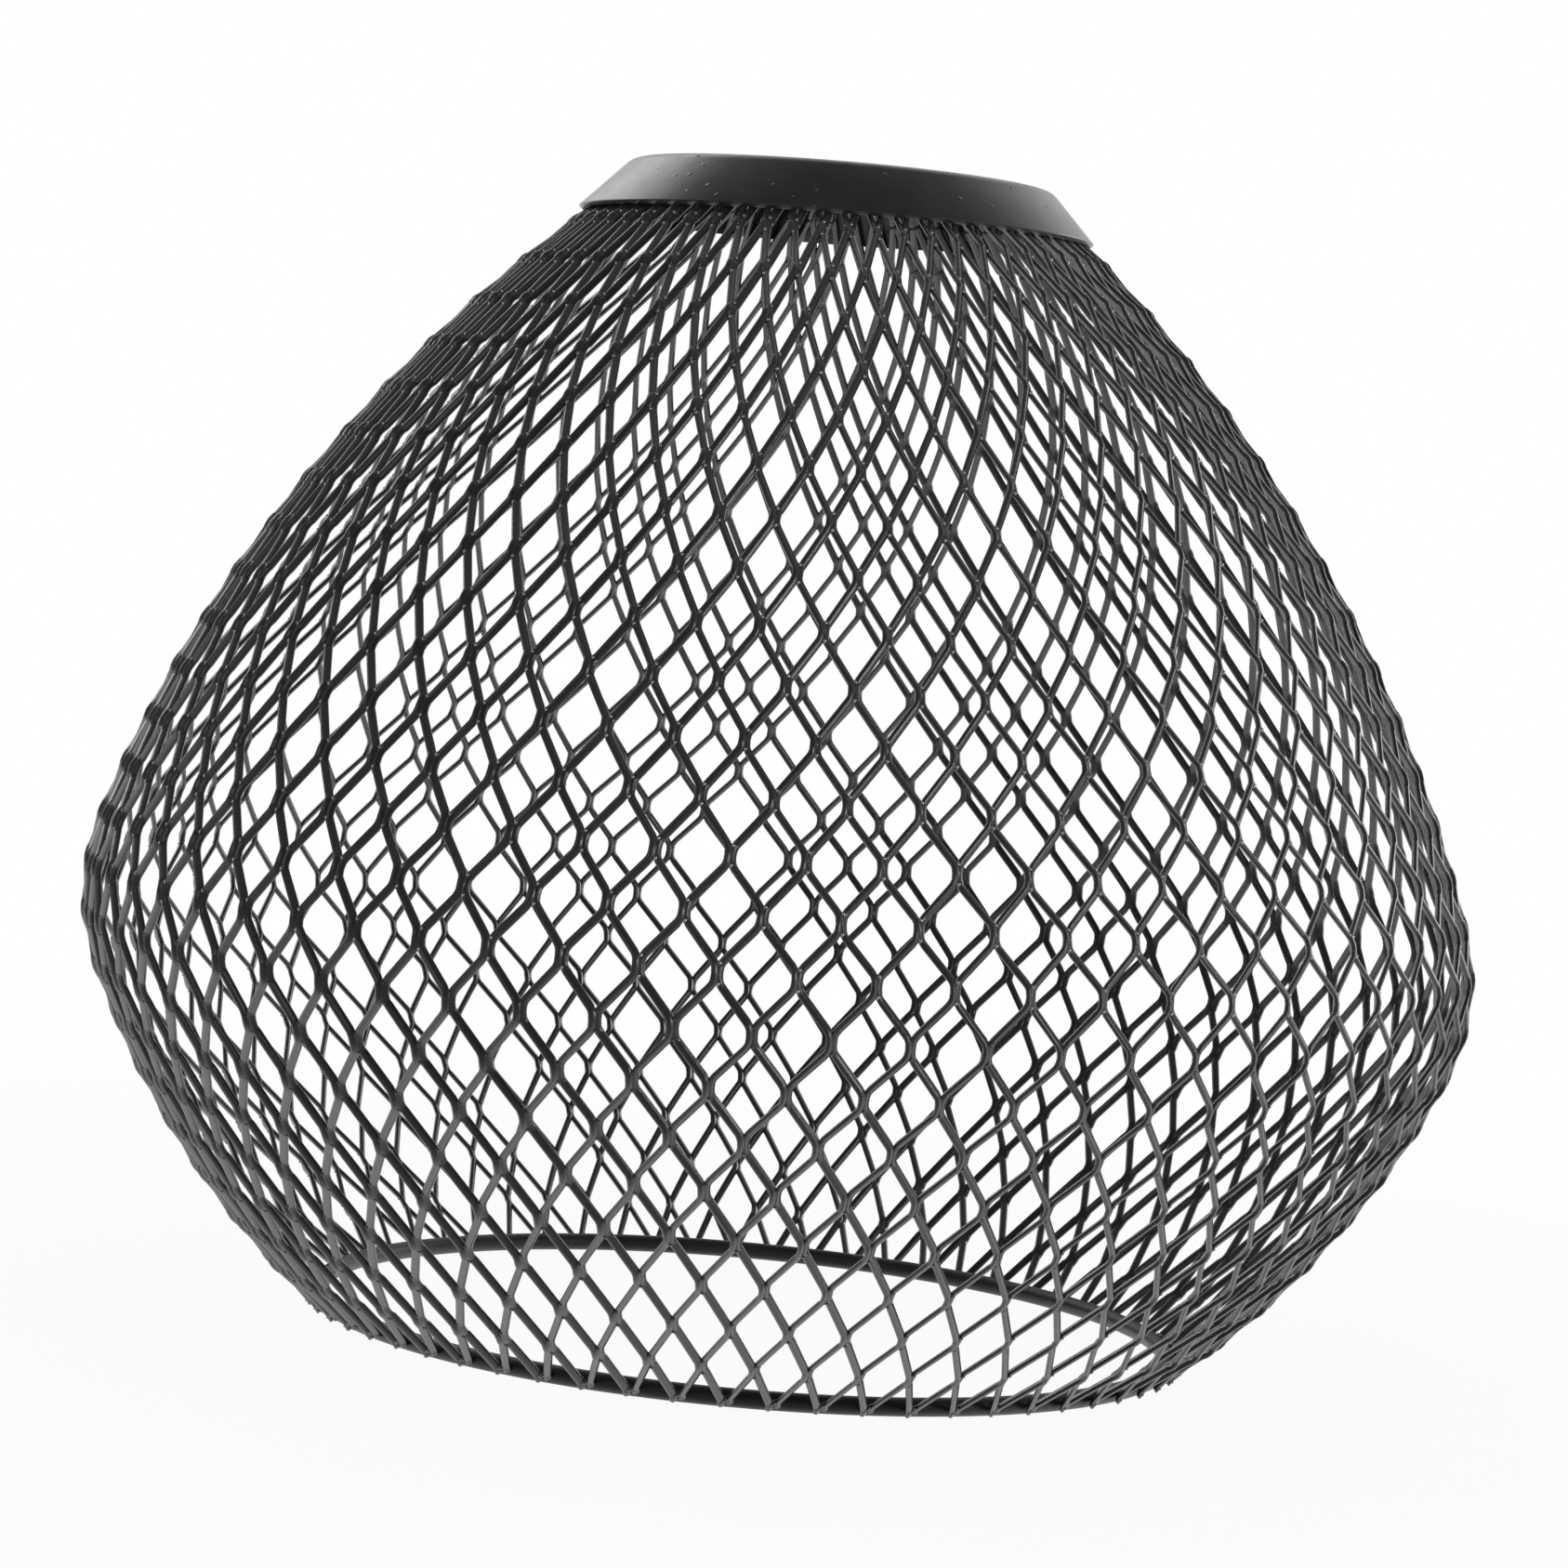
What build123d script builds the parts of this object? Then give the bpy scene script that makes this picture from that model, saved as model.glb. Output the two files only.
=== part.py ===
"""Cage lampshade: a gourd-shaped shade of expanded metal mesh, with a pressed sheet collar
on top for the lampholder and a round wire ring inside its mouth.

The part stands on its ring. The origin is at the middle of its mouth, level with the underside
of the ring, Z is the shade's axis and the units are millimetres.
"""

import os
from math import atan2, cos, pi, radians, sin, sqrt, tan

from build123d import *

# Shade wall: the middle of the sheet, as three arcs that run into each other, in proportion to
# the widest radius
bulge_radius = 100.0
lower_arc = 1.24 * bulge_radius
knee_arc = 0.3 * bulge_radius
upper_arc = 2.11 * bulge_radius
mouth_lean = radians(49.9)
knee_below = radians(23.3)
knee_above = radians(18.7)
neck_lean = radians(51.7)

# Mesh: the real sheet has twice as many strands each way, and every second one is modelled
columns = 32
rows = 12
strand_width = 1.5
sheet = 1.0
real_strand = 9.5
real_splay = 0.0583
cut_above = 0.3
hem = 3.1

# Bottom ring: round wire inside the cut edge of the mesh
ring_wire = 2.6
ring_rise = 0.2
ring_gap = 0.1

# Top collar: a cone with a flat top, pressed from one sheet
collar_sheet = 0.8
collar_lap = 9.4
collar_gap = 0.3
collar_height = 7.7
collar_lean = radians(44.0)
collar_bend = 1.7
holder_hole_radius = 21.0

# Lengths of the wall's arcs, from the mouth up
lower_run = lower_arc * (mouth_lean - knee_below)
knee_run = knee_arc * (knee_below + knee_above)
upper_run = upper_arc * (neck_lean - knee_above)
wall_run = lower_run + knee_run + upper_run


def arc_point(lean):
    """Radius, and height over the widest line, where the wall leans by this angle: in where it
    is positive, above the widest line, and out where it is negative, below."""
    arc, knee = (upper_arc, knee_above) if lean > 0 else (lower_arc, knee_below)
    on_knee = min(abs(lean), knee)
    radius = bulge_radius - knee_arc * (1 - cos(on_knee)) - arc * (cos(on_knee) - cos(lean))
    rise = knee_arc * sin(on_knee) + arc * (sin(abs(lean)) - sin(on_knee))
    return radius, rise if lean > 0 else -rise


# The ring's middle is a little above the inner corner of the mesh's cut edge
ring_height = ring_wire / 2
edge_height = ring_height - ring_rise - sheet / 2 * sin(mouth_lean)
bulge_height = edge_height - arc_point(-mouth_lean)[1]


def wall_at(run):
    """Radius, height and lean of the middle of the wall, this far along it from the mouth."""
    lower_left = run - lower_run
    knee_left = lower_left - knee_run
    if lower_left < 0:
        lean = lower_left / lower_arc - knee_below
    elif knee_left < 0:
        lean = knee_left / knee_arc + knee_above
    else:
        lean = knee_left / upper_arc + knee_above
    radius, rise = arc_point(lean)
    return radius, bulge_height + rise, lean


# Rows of nodes up the wall, two real rows for each. Rows lie closer where the wall is wide,
# because forming has spread the strands there. The mesh is cut just above its lowest nodes.
steps = []
for real_row in range(2 * rows):
    row_radius = wall_at(sum(steps) - cut_above)[0]
    steps.append(sqrt(real_strand**2 - (real_splay * row_radius) ** 2))
stretch = (wall_run - hem + cut_above) / sum(steps)
row_runs = [stretch * sum(steps[: 2 * row]) - cut_above for row in range(rows + 1)]
nodes = [wall_at(run) for run in row_runs]


def square_cut(run, side):
    """Corner of the sheet's end where it is cut square at this run: the outer one, 1, or the
    inner one, -1."""
    radius, height, lean = wall_at(run)
    return radius + side * sheet / 2 * cos(lean), height + side * sheet / 2 * sin(lean)


def face_points(side):
    """Corners of the wall's section on its outer side, 1, or its inner side, -1."""
    bends = nodes[1:] + [(bulge_radius, bulge_height, 0)]
    bends.sort(key=lambda bend: bend[1])
    points = [(radius + side * sheet / 2 / cos(lean), height) for radius, height, lean in bends]
    return [square_cut(0, side)] + points + [square_cut(wall_run, side)]


def half_pitch(row):
    """Half the distance from one node to the next, across a flat of the wall."""
    return nodes[row][0] * tan(pi / columns)


def strand_angle(row):
    """Angle between the wall's slope line and the strands that rise from this row."""
    mid_pitch = (half_pitch(row) + half_pitch(row + 1)) / 2
    return atan2(mid_pitch, row_runs[row + 1] - row_runs[row])


def gap_end(row, far_row):
    """Height where a gap in this row comes to its end, short of the node in far_row."""
    inset = strand_width / 2 / sin(strand_angle(min(row, far_row)))
    share = inset / abs(row_runs[far_row] - row_runs[row])
    return nodes[far_row][1] + share * (nodes[row][1] - nodes[far_row][1])


def gap_outline(row):
    """Corners of a gap: on a flat's middle line in odd rows, and across its edge in even ones,
    where the ends lie just past the edge, so that the gap is whole on both flats."""
    odd = row % 2 == 1
    height = nodes[row][1]
    middle = 0 if odd else half_pitch(row)
    half_width = half_pitch(row) - strand_width / 2 / cos(strand_angle(min(row, rows - 1)))
    left = (middle - half_width, height)
    right = (middle + half_width, height)
    outline = [left]
    if row < rows:
        outline.append((0 if odd else half_pitch(row + 1) + sheet / 2, gap_end(row, row + 1)))
    outline.append(right)
    if row > 0:
        outline.append((0 if odd else half_pitch(row - 1) + sheet / 2, gap_end(row, row - 1)))
    else:
        outline += [(right[0], edge_height - sheet), (left[0], edge_height - sheet)]
    return outline


# Mesh shade: one flat of the wall with its gaps, repeated round the axis
with BuildPart() as mesh_flat:
    with BuildSketch(Plane.XZ):
        with BuildLine():
            Polyline(face_points(1) + face_points(-1)[::-1], close=True)
        make_face()
    extrude(amount=bulge_radius * tan(pi / columns) + sheet, both=True)
    with BuildSketch(Plane.YZ):
        for row in range(rows + 1):
            with BuildLine():
                Polyline(gap_outline(row), close=True)
            make_face()
            if row % 2 == 0:
                mirror(about=Plane.YZ)
    extrude(amount=bulge_radius + sheet, mode=Mode.SUBTRACT)
    split(bisect_by=Plane.XZ.rotated((0, 0, 180 / columns)), keep=Keep.TOP)
    split(bisect_by=Plane.XZ.rotated((0, 0, -180 / columns)), keep=Keep.BOTTOM)

with BuildPart() as mesh_shade:
    with PolarLocations(0, columns):
        add(mesh_flat.part)

# Bottom ring: lies against the inner corner of the mesh's cut edge
ring_radius = square_cut(0, -1)[0] - sqrt((ring_wire / 2 + ring_gap) ** 2 - ring_rise**2)
with BuildPart() as bottom_ring:
    with BuildSketch(Plane.XZ):
        with Locations((ring_radius, ring_height)):
            Circle(ring_wire / 2)
    revolve(axis=Axis.Z)

# Top collar: its skirt laps over the hem of the mesh, and its flat top has the lampholder's hole
lap_radius, lap_height, lap_lean = wall_at(wall_run - collar_lap)
lap_offset = sheet / 2 + collar_gap
rim_radius = lap_radius + lap_offset * cos(lap_lean)
rim_height = lap_height + lap_offset * sin(lap_lean)
shoulder_height = rim_height + collar_height - collar_sheet
shoulder_radius = rim_radius - (shoulder_height - rim_height) * tan(collar_lean)
shoulder_step = collar_sheet * tan((pi / 2 - collar_lean) / 2)
top_height = shoulder_height + collar_sheet
with BuildPart() as top_collar:
    with BuildSketch(Plane.XZ):
        with BuildLine():
            inside = FilletPolyline(
                (rim_radius, rim_height),
                (shoulder_radius, shoulder_height),
                (holder_hole_radius, shoulder_height),
                radius=collar_bend,
            )
            outside = FilletPolyline(
                (rim_radius + collar_sheet * cos(collar_lean), rim_height + collar_sheet * sin(collar_lean)),
                (shoulder_radius + shoulder_step, top_height),
                (holder_hole_radius, top_height),
                radius=collar_bend + collar_sheet,
            )
            Line(inside @ 0, outside @ 0)
            Line(inside @ 1, outside @ 1)
        make_face()
    revolve(axis=Axis.Z)

os.makedirs("parts", exist_ok=True)
mesh_shade.part.label = "mesh_shade"
bottom_ring.part.label = "bottom_ring"
top_collar.part.label = "top_collar"
export_step(mesh_shade.part, "parts/mesh_shade.step")
export_step(bottom_ring.part, "parts/bottom_ring.step")
export_step(top_collar.part, "parts/top_collar.step")
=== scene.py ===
"""Looks of the cage lampshade: every strip of its expanded metal mesh, its collar and its ring,
in black paint, on a pale floor under soft light. Lengths are in millimetres until they become
Blender coordinates."""

from math import atan2, cos, pi, radians, sin, sqrt, tan

import bpy
import numpy as np
from mathutils import Matrix, Vector


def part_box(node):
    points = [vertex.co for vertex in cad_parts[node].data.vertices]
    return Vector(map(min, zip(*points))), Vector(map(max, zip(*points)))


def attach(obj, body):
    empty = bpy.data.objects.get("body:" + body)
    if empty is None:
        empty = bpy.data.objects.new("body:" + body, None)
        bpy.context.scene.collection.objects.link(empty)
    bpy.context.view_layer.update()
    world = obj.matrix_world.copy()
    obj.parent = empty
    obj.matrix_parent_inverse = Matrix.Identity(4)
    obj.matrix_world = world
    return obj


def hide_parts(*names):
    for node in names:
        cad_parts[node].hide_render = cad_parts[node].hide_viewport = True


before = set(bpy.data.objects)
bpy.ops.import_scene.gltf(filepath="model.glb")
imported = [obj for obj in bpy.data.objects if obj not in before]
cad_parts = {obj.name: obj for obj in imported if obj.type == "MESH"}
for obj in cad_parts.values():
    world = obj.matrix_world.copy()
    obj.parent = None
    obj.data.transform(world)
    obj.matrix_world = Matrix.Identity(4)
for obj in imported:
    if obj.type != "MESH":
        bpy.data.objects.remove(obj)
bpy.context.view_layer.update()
MM = 0.001

# Shade wall, as in the part: three arcs, in proportion to the widest radius
sheet = 1.0
bulge_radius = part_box("mesh_shade")[1].x / MM - sheet / 2
lower_arc = 1.24 * bulge_radius
knee_arc = 0.3 * bulge_radius
upper_arc = 2.11 * bulge_radius
mouth_lean = radians(49.9)
knee_below = radians(23.3)
knee_above = radians(18.7)
neck_lean = radians(51.7)

# Mesh: a sheet slit into strips and pulled open, so that each strip zigzags between its neighbours
strips = 126
rows = 24
mesh_turn = radians(1.57)
mesh_spread = 0.0075
real_strand = 9.5
real_splay = 0.0583
cut_above = 0.3
hem = 3.1

# Strips: their section, turned by the tilt, lies a little inside the wall and more so at the neck
strip_width = 1.17
strip_thickness = 0.72
strip_corner = 0.25
strip_tilt = radians(43.0)
strip_uneven = 0.035
strip_inset = 0.3
neck_inset = 0.66
neck_run = 100.0
neck_blend = 55.0
flat_weight = 60

# Bends and bonds of the strips, and their feet on the ring
bend_radius = 2.3
bend_steps = 3
bond_half_length = 0.3
bond_offset = 0.32
bond_rise = 0.2
foot_splay = 0.32
foot_blend = 4.0

# Beads of paint in the slit ends, and webs between the feet. From this row up the beads carry a
# painted glint, a lighter metal where light catches them
bead_size = (0.4, 0.5, 0.4)
bead_run = 1.3
bead_rise = 0.3
glint_rows = 9
web_size = (1.35, 0.8, 0.5)
web_run = 0.75
web_rise = 0.0

# Collar, a little askew on the neck
collar_sheet = 0.8
collar_lean = radians(44.0)
collar_drop = 0.6
collar_slim = 0.5
collar_askew = 0.0115
collar_pivot = 94.0
collar_rim_round = 0.12
collar_outer_bend = 2.5
collar_inner_bend = 1.7
holder_hole_radius = 21.0
holder_hole_round = 0.3

# Fineness of turned pieces
turn_steps = 192
corner_steps = 5
wire_sides = 20

# Paint
black_tones = (0.02, 0.036)
# Lighter tones of the painted glint on the upper beads
glint_speck_tones = (0.3, 0.45)
blue_tint = 1.03
tone_span = (0.3, 0.75)
tone_scale = 160
tone_detail = 3
gloss_scale = 420
gloss_change = (-0.07, 0.09)
fine_detail = 2
peel_strength = 0.35
nib_scale = 400
nib_reach = 0.16
nib_choice = (0.1, 0.5)

# Floor: how white the camera sees it, by distance from the middle, and gloss, from front to back
floor_half = 4000.0
floor_drop = 0.2
floor_tone = 0.86
shadow_span = (50.0, 450.0)
shadow_glow = (0.94, 1.0)
gloss_span = (-220.0, -40.0)
gloss_glow = (0.15, 1.0)

# World: its white and dim levels, and the spans in depth and height where one turns into the other
studio_white = 1.0
studio_dim = 0.18
back_span = (0.2, 0.9)
above_span = (0.6, 0.95)

# Camera
camera_distance = 669.7
camera_down = 0.0586
camera_roll = 0.0895
camera_turn = 0.0236
camera_clip = 10.0
aim_height = 79.1
image_side = 1687
focal_pixels = 4963.7
centre_x = 851.2
centre_y = 848.0
sensor = 36.0

# Lengths of the wall's arcs, from the mouth up
lower_run = lower_arc * (mouth_lean - knee_below)
knee_run = knee_arc * (knee_below + knee_above)
upper_run = upper_arc * (neck_lean - knee_above)
wall_run = lower_run + knee_run + upper_run


def arc_point(lean):
    """Radius, and height over the widest line, where the wall leans by this angle: in where it
    is positive, above the widest line, and out where it is negative, below."""
    arc, knee = (upper_arc, knee_above) if lean > 0 else (lower_arc, knee_below)
    on_knee = min(abs(lean), knee)
    radius = bulge_radius - knee_arc * (1 - cos(on_knee)) - arc * (cos(on_knee) - cos(lean))
    rise = knee_arc * sin(on_knee) + arc * (sin(abs(lean)) - sin(on_knee))
    return radius, rise if lean > 0 else -rise


edge_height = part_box("mesh_shade")[0].z / MM + sheet / 2 * sin(mouth_lean)
bulge_height = edge_height - arc_point(-mouth_lean)[1]


def wall_at(run):
    """Radius, height and lean of the middle of the wall, this far along it from the mouth."""
    lower_left = run - lower_run
    knee_left = lower_left - knee_run
    if lower_left < 0:
        lean = lower_left / lower_arc - knee_below
    elif knee_left < 0:
        lean = knee_left / knee_arc + knee_above
    else:
        lean = knee_left / upper_arc + knee_above
    radius, rise = arc_point(lean)
    return radius, bulge_height + rise, lean


def row_runs():
    """How far along the wall each row of bonds lies. Rows are closer where the wall is wide."""
    steps = []
    for _ in range(rows):
        radius = wall_at(sum(steps) - cut_above)[0]
        steps.append(sqrt(real_strand**2 - (real_splay * radius) ** 2))
    stretch = (wall_run - hem + cut_above) / sum(steps)
    return [stretch * sum(steps[:row]) - cut_above for row in range(rows + 1)]


def smooth(share):
    """Eases from 0 to 1 as share does."""
    share = min(max(share, 0.0), 1.0)
    return share * share * (3 - 2 * share)


def strip_stations(strip):
    """Angle, run, side of the bond and nearness to it for the points that a strip passes, from
    the cut edge to the top of the wall."""
    step_angle = 2 * pi / strips
    runs = row_runs()
    sides = [1 if (strip + row) % 2 == 0 else -1 for row in range(rows + 1)]
    bonds = []
    for run, side in zip(runs, sides):
        shift = side * bond_offset * cos(strip_tilt) / wall_at(run)[0]
        bonds.append(mesh_turn + (strip + (1 - side) / 2) * step_angle + shift)
    stations = []
    for row in range(rows):
        long = runs[row + 1] - runs[row]
        wide = abs(bonds[row + 1] - bonds[row]) * wall_at((runs[row] + runs[row + 1]) / 2)[0]
        straight = long - 2 * bond_half_length
        bar = sqrt((wide - 2 * bend_radius) ** 2 + straight**2 - 4 * bend_radius**2)
        turn = atan2(wide - 2 * bend_radius, straight) + atan2(2 * bend_radius, bar)
        curve = [(0.0, 0.0, 1.0)] if row else [(cut_above / long, 0.0, 1.0)]
        arc = []
        for step in range(1, bend_steps + 1):
            share = step / bend_steps
            along = bond_half_length + bend_radius * sin(share * turn)
            across = bend_radius * (1 - cos(share * turn))
            arc.append((along / long, across / wide, 1 - share))
        curve += arc + [(1 - along, 1 - across, near) for along, across, near in arc[::-1]]
        for along, across, near in curve:
            run = runs[row] + along * long
            side = sides[row] + (sides[row + 1] - sides[row]) * across
            splay = foot_splay * smooth(1 - run / foot_blend) / wall_at(run)[0]
            angle = bonds[row] + (bonds[row + 1] - bonds[row]) * across + side * splay
            stations.append((angle, run, side, near))
    stations.append((bonds[rows], runs[rows], sides[rows], 1.0))
    stations.append((bonds[rows], wall_run, sides[rows], 1.0))
    return stations


def inset_at(run):
    """How far inside the wall's middle the strips lie, which is more at the neck."""
    return strip_inset + (neck_inset - strip_inset) * smooth((run - neck_run) / neck_blend)


def strip_rings(strip):
    """Middle points of a strip, and the eight corners of its section round each of them. At a
    bond the strip's face is level with its neighbour's."""
    stations = strip_stations(strip)
    centres, normals, sideways = [], [], []
    for angle, run, side, near in stations:
        radius, height, lean = wall_at(run)
        out = np.array((cos(angle), sin(angle), 0.0))
        normal = cos(lean) * out + np.array((0.0, 0.0, sin(lean)))
        lift = bond_rise * near - inset_at(run) - side * bond_offset * sin(strip_tilt)
        centres.append(radius * out + np.array((0.0, 0.0, height)) + lift * normal)
        normals.append(normal)
        sideways.append(np.array((-sin(angle), cos(angle), 0.0)))
    centres = np.array(centres)
    along = np.gradient(centres, axis=0)
    for end in (0, -1):
        along[end] = np.cross(normals[end], sideways[end])
    along /= np.linalg.norm(along, axis=1)[:, None]
    half_width = strip_width / 2
    half_thick = strip_thickness / 2
    wide = half_width - strip_corner
    thick = half_thick - strip_corner
    corners = [
        (half_width, thick), (wide, half_thick), (-wide, half_thick), (-half_width, thick),
        (-half_width, -thick), (-wide, -half_thick), (wide, -half_thick), (half_width, -thick),
    ]
    sections = []
    for index in range(len(stations)):
        face = cos(strip_tilt) * normals[index] + sin(strip_tilt) * sideways[index]
        edge = np.cross(face, along[index])
        edge /= np.linalg.norm(edge)
        face = np.cross(along[index], edge)
        sections.append([a * edge + b * face for a, b in corners])
    return centres, np.array(sections)


def bar_faces(base, count, around):
    """Faces of a closed bar, between its rings of points and over its two ends. Its points are
    numbered from base on."""
    faces = []
    for ring in range(count - 1):
        low = base + ring * around
        high = low + around
        for corner in range(around):
            following = (corner + 1) % around
            faces.append((low + corner, low + following, high + following, high + corner))
    last = base + (count - 1) * around
    faces.append([base + corner for corner in range(around)][::-1])
    faces.append([last + corner for corner in range(around)])
    return faces


def bead_shapes(strip):
    """Tips of the beads in the slit ends, above and below the bonds of this strip with the next
    one, and of the web between their feet. Each comes with whether it carries the painted glint."""
    angle = mesh_turn + (strip + 1) * 2 * pi / strips
    out = np.array((cos(angle), sin(angle), 0.0))
    up = np.array((0.0, 0.0, 1.0))
    sideways = np.cross(up, out)
    spots = []
    if strip % 2 == 1:
        spots.append((web_run, web_rise, web_size, False))
    for row, run in enumerate(row_runs()):
        if 0 < row < rows and (strip + row) % 2 == 1:
            for slit_end in (run - bead_run, run + bead_run):
                spots.append((slit_end, bead_rise, bead_size, row >= glint_rows))
    shapes = []
    for run, rise, size, glinting in spots:
        radius, height, lean = wall_at(run)
        normal = cos(lean) * out + sin(lean) * up
        along = cos(lean) * up - sin(lean) * out
        face = cos(strip_tilt) * normal + sin(strip_tilt) * sideways
        middle = radius * out + height * up - inset_at(run) * normal + rise * face
        tips = np.array((np.cross(along, face), along, face)) * np.array(size)[:, None]
        shapes.append((middle + np.concatenate((tips, -tips)), glinting))
    return shapes


def bead_faces(base):
    """Faces of a bead. Its tips are numbered from base on, three and then those opposite."""
    girdle = (base, base + 1, base + 3, base + 4, base)
    sides = list(zip(girdle, girdle[1:]))
    outer = [(start, end, base + 2) for start, end in sides]
    inner = [(end, start, base + 5) for start, end in sides]
    return outer + inner


def spread(points):
    """Turns points a little round the axis, because the mesh is spread more on its right side."""
    angle = np.arctan2(points[:, 1], points[:, 0])
    radius = np.hypot(points[:, 0], points[:, 1])
    angle = angle + mesh_spread * (1 + np.sin(angle))
    return np.stack((radius * np.cos(angle), radius * np.sin(angle), points[:, 2]), axis=1)


def add_mesh(name, points, faces, material):
    """A smooth mesh object of these points, in millimetres, that rides on the part."""
    mesh = bpy.data.meshes.new(name)
    mesh.from_pydata((np.asarray(points) * MM).tolist(), [], faces)
    mesh.polygons.foreach_set("use_smooth", [True] * len(mesh.polygons))
    mesh.materials.append(material)
    piece = bpy.data.objects.new(name, mesh)
    bpy.context.scene.collection.objects.link(piece)
    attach(piece, "root")
    return piece


def add_strips(name, first, material, glint_material):
    """Every second strip round the shade, starting with this one, as closed bars that are a
    little uneven in width, with the beads in the slit ends on one side of each. The upper beads
    carry a painted glint, a second, lighter metal material."""
    chance = np.random.default_rng(first)
    centres, sections = strip_rings(first)
    count, around = sections.shape[:2]
    beads = bead_shapes(first)
    points, faces, glint_faces = [], [], []
    for turn in range(strips // 2):
        angle = turn * 4 * pi / strips
        spin = np.array(((cos(angle), -sin(angle), 0), (sin(angle), cos(angle), 0), (0, 0, 1)))
        uneven = 1 + strip_uneven * chance.uniform(-1, 1, (count, 1, 1))
        rings = centres[:, None, :] + sections * uneven
        faces += bar_faces(sum(len(group) for group in points), count, around)
        points.append(rings.reshape(-1, 3) @ spin.T)
        for tips, glinting in beads:
            sides = bead_faces(sum(len(group) for group in points))
            points.append(tips @ spin.T)
            if glinting:
                glint_faces += range(len(faces), len(faces) + len(sides))
            faces += sides
    piece = add_mesh(name, spread(np.concatenate(points)), faces, material)
    # The beads from the glint rows up get a lighter metal, a painted glint
    piece.data.materials.append(glint_material)
    for index in glint_faces:
        piece.data.polygons[index].material_index = 1
    piece.modifiers.new("flat_faces", "WEIGHTED_NORMAL").weight = flat_weight
    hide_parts("mesh_shade")


def add_turned(name, node, profile, material, askew=0.0):
    """A closed profile of (radius, height) corners, turned round the axis. What is askew leans
    to the left, less so near the holder's hole."""
    outer = max(radius for radius, _ in profile)
    points, faces = [], []
    for step in range(turn_steps):
        angle = 2 * pi * step / turn_steps
        for radius, height in profile:
            lean = askew * (radius - holder_hole_radius) / (outer - holder_hole_radius)
            x, y = radius * cos(angle), radius * sin(angle)
            points.append((x - lean * (height - collar_pivot), y, height + lean * x))
    corners = len(profile)
    for step in range(turn_steps):
        low = step * corners
        high = (step + 1) % turn_steps * corners
        for corner in range(corners):
            following = (corner + 1) % corners
            faces.append((low + corner, high + corner, high + following, low + following))
    piece = add_mesh(name, points, faces, material)
    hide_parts(node)


def rounded(corners, radii):
    """A closed outline with each corner rounded by its radius."""
    outline = []
    count = len(corners)
    for index, radius in enumerate(radii):
        corner = Vector(corners[index])
        before = (Vector(corners[index - 1]) - corner).normalized()
        after = (Vector(corners[(index + 1) % count]) - corner).normalized()
        half = before.angle(after) / 2
        middle = corner + (before + after).normalized() * radius / sin(half)
        start = (corner + before * radius / tan(half) - middle).normalized()
        end = (corner + after * radius / tan(half) - middle).normalized()
        for step in range(corner_steps + 1):
            outline.append(middle + radius * start.slerp(end, step / corner_steps))
    return [tuple(point) for point in outline]


def add_collar(material):
    """The collar's cone and flat top, one sheet thick, with softened edges."""
    low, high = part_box("top_collar")
    rim_radius = high.x / MM - collar_sheet * cos(collar_lean) - collar_slim
    rim_height = low.z / MM - collar_drop
    top_height = high.z / MM - collar_drop
    shoulder_height = top_height - collar_sheet
    shoulder_radius = rim_radius - (shoulder_height - rim_height) * tan(collar_lean)
    shoulder_step = collar_sheet * tan((pi / 2 - collar_lean) / 2)
    corners = [
        (rim_radius, rim_height),
        (rim_radius + collar_sheet * cos(collar_lean), rim_height + collar_sheet * sin(collar_lean)),
        (shoulder_radius + shoulder_step, top_height),
        (holder_hole_radius, top_height),
        (holder_hole_radius, shoulder_height),
        (shoulder_radius, shoulder_height),
    ]
    radii = [
        collar_rim_round, collar_rim_round, collar_outer_bend,
        holder_hole_round, holder_hole_round, collar_inner_bend,
    ]
    add_turned("collar", "top_collar", rounded(corners, radii), material, collar_askew)


def add_ring(material):
    """The round wire ring."""
    low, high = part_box("bottom_ring")
    wire = (high.z - low.z) / 2 / MM
    radius = high.x / MM - wire
    height = (high.z + low.z) / 2 / MM
    turns = [2 * pi * step / wire_sides for step in range(wire_sides)]
    outline = [(radius + wire * cos(turn), height + wire * sin(turn)) for turn in turns]
    add_turned("ring", "bottom_ring", outline, material)


def noise(tree, place, scale, detail):
    """A noise over these coordinates."""
    node = tree.nodes.new("ShaderNodeTexNoise")
    node.inputs["Scale"].default_value = scale
    node.inputs["Detail"].default_value = detail
    tree.links.new(place, node.inputs["Vector"])
    return node.outputs["Fac"]


def ramp(tree, value, span, levels, course="LINEAR"):
    """Goes from the first level to the second as the value crosses the span."""
    node = tree.nodes.new("ShaderNodeMapRange")
    node.interpolation_type = course
    node.inputs["From Min"].default_value = span[0]
    node.inputs["From Max"].default_value = span[1]
    node.inputs["To Min"].default_value = levels[0]
    node.inputs["To Max"].default_value = levels[1]
    tree.links.new(value, node.inputs["Value"])
    return node.outputs["Result"]


def combine(tree, operation, first, second):
    """The result of a maths operation on two values."""
    node = tree.nodes.new("ShaderNodeMath")
    node.operation = operation
    tree.links.new(first, node.inputs[0])
    tree.links.new(second, node.inputs[1])
    return node.outputs["Value"]


def nibbed(tree, place, normal, height):
    """This normal with nibs on the surface, of up to this height."""
    cells = tree.nodes.new("ShaderNodeTexVoronoi")
    cells.inputs["Scale"].default_value = nib_scale
    tree.links.new(place, cells.inputs["Vector"])
    chance = tree.nodes.new("ShaderNodeSeparateColor")
    tree.links.new(cells.outputs["Color"], chance.inputs["Color"])
    share = ramp(tree, chance.outputs["Red"], nib_choice, (0.0, 1.0))
    nib = ramp(tree, cells.outputs["Distance"], (nib_reach, 0.0), (0.0, 1.0), "SMOOTHSTEP")
    tree.links.new(share, nib.node.inputs["To Max"])
    bump = tree.nodes.new("ShaderNodeBump")
    bump.inputs["Distance"].default_value = height * MM
    tree.links.new(nib, bump.inputs["Height"])
    tree.links.new(normal, bump.inputs["Normal"])
    return bump.outputs["Normal"]


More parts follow.
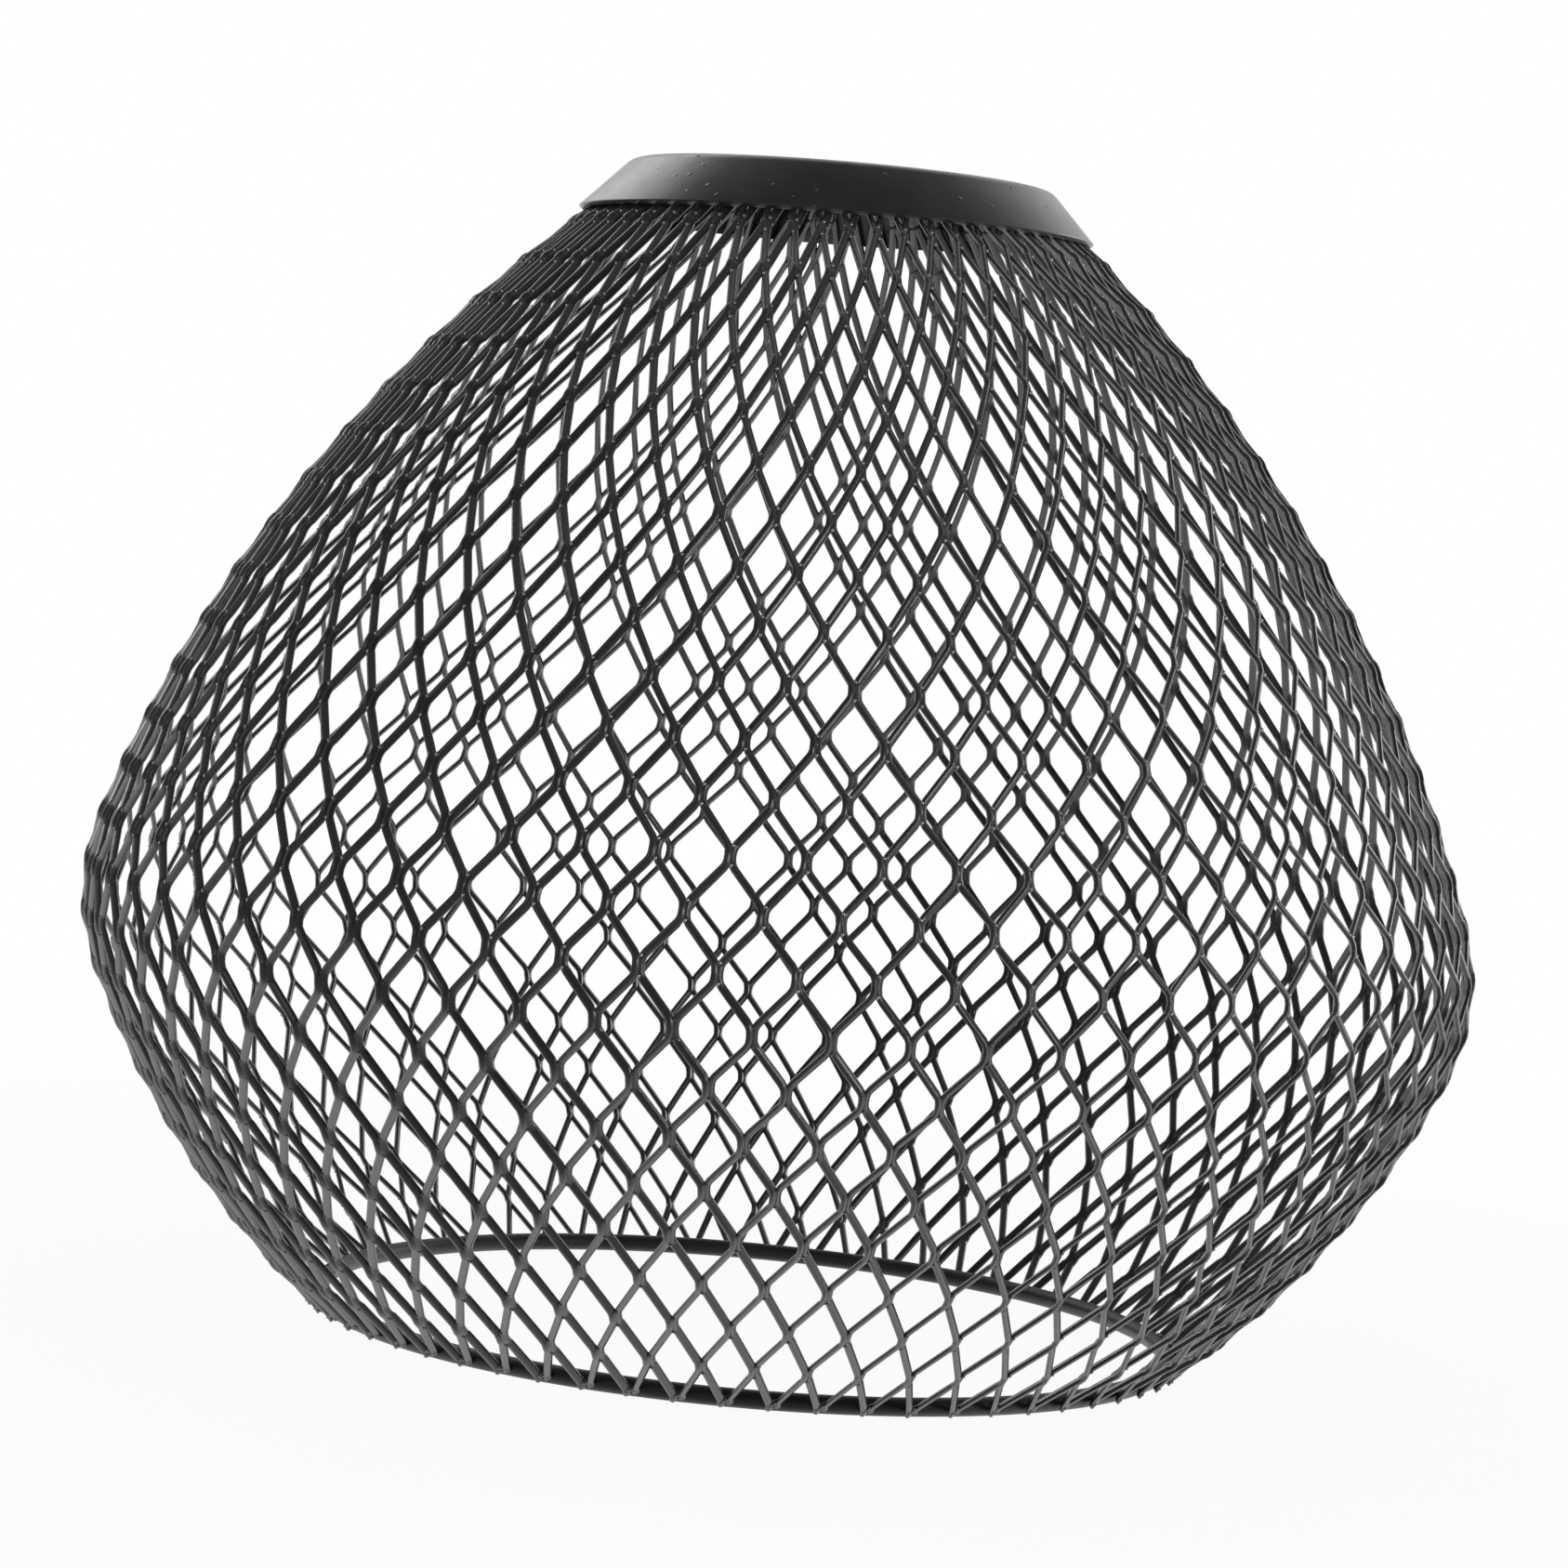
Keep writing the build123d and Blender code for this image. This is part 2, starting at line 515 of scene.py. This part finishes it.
def paint(name, roughness, slants, shines, grain, depth, nibs=0.0, tones=black_tones, metal=0.0):
    """Paint that is a little uneven in tone and gloss, with a fine orange-peel surface and, where
    they have a height, nibs. Between the two slants of view its shine goes from the first to the
    second."""
    material = bpy.data.materials.new(name)
    material.use_nodes = True
    tree = material.node_tree
    nodes, links = tree.nodes, tree.links
    shader = nodes["Principled BSDF"]
    shader.inputs["Metallic"].default_value = metal
    place = nodes.new("ShaderNodeTexCoord").outputs["Object"]
    tone = nodes.new("ShaderNodeValToRGB")
    for stop, position, level in zip(tone.color_ramp.elements, tone_span, tones):
        stop.position = position
        stop.color = (level, level, blue_tint * level, 1)
    links.new(noise(tree, place, tone_scale, tone_detail), tone.inputs["Fac"])
    links.new(tone.outputs["Color"], shader.inputs["Base Color"])
    uneven = noise(tree, place, gloss_scale, fine_detail)
    gloss = ramp(tree, uneven, (0.0, 1.0), [roughness + change for change in gloss_change])
    links.new(gloss, shader.inputs["Roughness"])
    peel = nodes.new("ShaderNodeBump")
    peel.inputs["Strength"].default_value = peel_strength
    peel.inputs["Distance"].default_value = depth * MM
    links.new(noise(tree, place, grain, fine_detail), peel.inputs["Height"])
    normal = peel.outputs["Normal"]
    if nibs > 0:
        normal = nibbed(tree, place, normal, nibs)
    links.new(normal, shader.inputs["Normal"])
    facing = nodes.new("ShaderNodeLayerWeight").outputs["Facing"]
    links.new(ramp(tree, facing, slants, shines), shader.inputs["Specular IOR Level"])
    return material


def add_floor():
    """A pale floor that shows as white, apart from the object's soft shadow. In gloss it is white
    as well, but dim on the camera's side."""
    side = floor_half * MM
    corners = [(-side, -side, 0), (side, -side, 0), (side, side, 0), (-side, side, 0)]
    mesh = bpy.data.meshes.new("floor")
    mesh.from_pydata(corners, [], [(0, 1, 2, 3)])
    floor = bpy.data.objects.new("floor", mesh)
    floor.location.z = -floor_drop * MM
    bpy.context.scene.collection.objects.link(floor)
    material = bpy.data.materials.new("pale_floor")
    material.use_nodes = True
    tree = material.node_tree
    nodes, links = tree.nodes, tree.links
    nodes.remove(nodes["Principled BSDF"])
    diffuse = nodes.new("ShaderNodeBsdfDiffuse")
    diffuse.inputs["Color"].default_value = (floor_tone, floor_tone, floor_tone, 1)
    glow = nodes.new("ShaderNodeEmission")
    place = nodes.new("ShaderNodeTexCoord").outputs["Object"]
    away = nodes.new("ShaderNodeVectorMath")
    away.operation = "LENGTH"
    links.new(place, away.inputs[0])
    shadow_edge = [edge * MM for edge in shadow_span]
    fade = ramp(tree, away.outputs["Value"], shadow_edge, shadow_glow, "SMOOTHSTEP")
    depth = nodes.new("ShaderNodeSeparateXYZ")
    links.new(place, depth.inputs["Vector"])
    gloss_edge = [edge * MM for edge in gloss_span]
    behind = ramp(tree, depth.outputs["Y"], gloss_edge, gloss_glow, "SMOOTHSTEP")
    ray = nodes.new("ShaderNodeLightPath").outputs
    seen = combine(tree, "MULTIPLY", ray["Is Camera Ray"], fade)
    mirrored = combine(tree, "MAXIMUM", ray["Is Glossy Ray"], ray["Is Transmission Ray"])
    mirrored = combine(tree, "MULTIPLY", mirrored, behind)
    both = nodes.new("ShaderNodeMixShader")
    links.new(combine(tree, "MAXIMUM", seen, mirrored), both.inputs["Fac"])
    links.new(diffuse.outputs["BSDF"], both.inputs[1])
    links.new(glow.outputs["Emission"], both.inputs[2])
    links.new(both.outputs["Shader"], nodes["Material Output"].inputs["Surface"])
    mesh.materials.append(material)


def add_world():
    """White all round for the camera. For light and gloss it is white behind the object, and dim
    at its sides and in front. For light alone it is dim above as well, as in a studio."""
    world = bpy.data.worlds.new("studio")
    bpy.context.scene.world = world
    world.use_nodes = True
    tree = world.node_tree
    nodes, links = tree.nodes, tree.links
    background = nodes["Background"]
    background.inputs["Color"].default_value = (1, 1, 1, 1)
    toward = nodes.new("ShaderNodeSeparateXYZ")
    links.new(nodes.new("ShaderNodeTexCoord").outputs["Generated"], toward.inputs["Vector"])
    brighter = (studio_dim, studio_white)
    back = ramp(tree, toward.outputs["Y"], back_span, brighter, "SMOOTHSTEP")
    above = ramp(tree, toward.outputs["Z"], above_span, brighter[::-1], "SMOOTHSTEP")
    light = combine(tree, "MINIMUM", back, above)
    ray = nodes.new("ShaderNodeLightPath").outputs
    mirrored = combine(tree, "MAXIMUM", ray["Is Glossy Ray"], ray["Is Transmission Ray"])
    backdrop = combine(tree, "MULTIPLY", mirrored, back)
    seen = combine(tree, "MAXIMUM", ray["Is Camera Ray"], backdrop)
    links.new(combine(tree, "MAXIMUM", seen, light), background.inputs["Strength"])


def add_light(name, place, size, power):
    """A square softbox that points at the middle of the shade."""
    lamp = bpy.data.lights.new(name, "AREA")
    lamp.size = size * MM
    lamp.energy = power
    light = bpy.data.objects.new(name, lamp)
    light.location = [length * MM for length in place]
    aim = Vector((0, 0, aim_height * MM)) - light.location
    light.rotation_euler = aim.to_track_quat("-Z", "Y").to_euler()
    bpy.context.scene.collection.objects.link(light)


def add_camera():
    """The photograph's view: from a little above, with the camera rolled."""
    data = bpy.data.cameras.new("camera")
    data.sensor_width = sensor
    data.lens = sensor * focal_pixels / image_side
    data.shift_x = (image_side / 2 - centre_x) / image_side
    data.shift_y = (centre_y - image_side / 2) / image_side
    data.clip_start = camera_clip * MM
    turn = Matrix.Rotation(camera_turn, 3, "Z")
    ahead = turn @ Vector((0, cos(camera_down), -sin(camera_down)))
    right = turn @ Vector((1, 0, 0))
    up = turn @ Vector((0, sin(camera_down), cos(camera_down)))
    rolled_right = cos(camera_roll) * right + sin(camera_roll) * up
    rolled_up = cos(camera_roll) * up - sin(camera_roll) * right
    place = Vector((0, 0, aim_height)) - camera_distance * ahead
    camera = bpy.data.objects.new("camera", data)
    axes = Matrix((rolled_right, rolled_up, -ahead)).transposed()
    camera.matrix_world = Matrix.Translation(place * MM) @ axes.to_4x4()
    bpy.context.scene.collection.objects.link(camera)
    bpy.context.scene.camera = camera


mesh_paint = paint(
    "mesh_paint", roughness=0.26, slants=(0.08, 0.42), shines=(0.35, 1.7), grain=700, depth=0.12
)
collar_paint = paint(
    "collar_paint", roughness=0.3, slants=(0.3, 0.75), shines=(0.35, 2.4), grain=900, depth=0.06,
    nibs=0.16,
)
ring_paint = paint(
    "ring_paint", roughness=0.4, slants=(0.08, 0.42), shines=(0.15, 0.5), grain=700, depth=0.1
)
# Painted glint: a lighter metal on the upper beads, where light catches the slit ends
painted_glint_speck = paint(
    "painted_glint_speck", roughness=0.3, slants=(0.08, 0.42), shines=(0.4, 0.6), grain=700, depth=0.05,
    tones=glint_speck_tones, metal=1.0,
)
add_strips("mesh_strips_even", 0, mesh_paint, painted_glint_speck)
add_strips("mesh_strips_odd", 1, mesh_paint, painted_glint_speck)
add_collar(collar_paint)
add_ring(ring_paint)

add_floor()
add_world()
add_light("left", place=(-700, 780, 800), size=700, power=1.6)
add_light("left_edge", place=(-900, 420, 670), size=350, power=0.8)
add_light("left_front", place=(-550, -1100, 550), size=600, power=2)
add_light("right", place=(1000, 800, 350), size=600, power=2.5)
add_light("right_front", place=(1050, -600, 300), size=400, power=3)
add_camera()

bpy.context.scene.view_settings.view_transform = "Standard"
